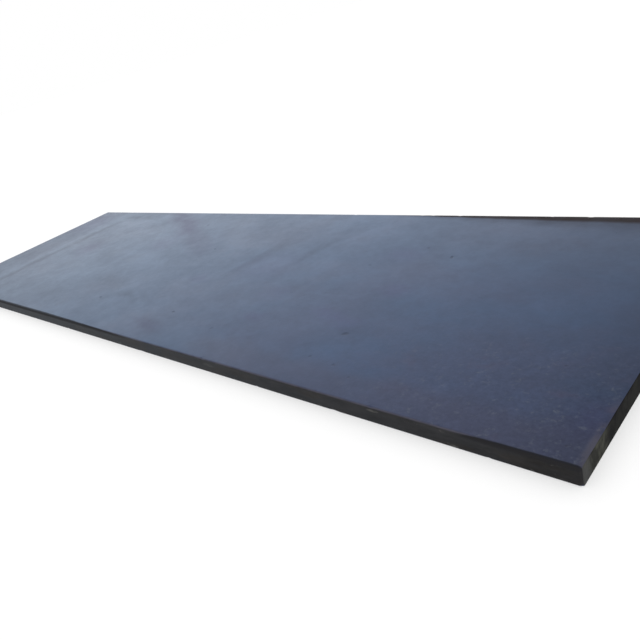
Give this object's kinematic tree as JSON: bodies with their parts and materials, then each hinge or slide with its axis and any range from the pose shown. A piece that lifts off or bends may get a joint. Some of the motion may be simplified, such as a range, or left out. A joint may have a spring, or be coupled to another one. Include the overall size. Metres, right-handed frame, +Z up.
{
  "type": "mild steel flat bar",
  "caption": "Wide, heavy hot-rolled mild steel flat bar with a dark mill-scale skin, rolled long edges and plain cut ends, lying on its wide face.",
  "frame": {"origin": "centre of the underside, at half the length and half the width", "axes": "+X along the bar's length, +Y across its width, +Z up through its thickness"},
  "size_m": [1.5, 0.45, 0.02],
  "materials": {
    "mill_scale": "hot-rolled mill scale, blue-grey with a dull satin sheen, duller charcoal on the long edges and the cut ends"
  },
  "bodies": {
    "root": {"flat_bar": "mill_scale"}
  },
  "joints": []
}
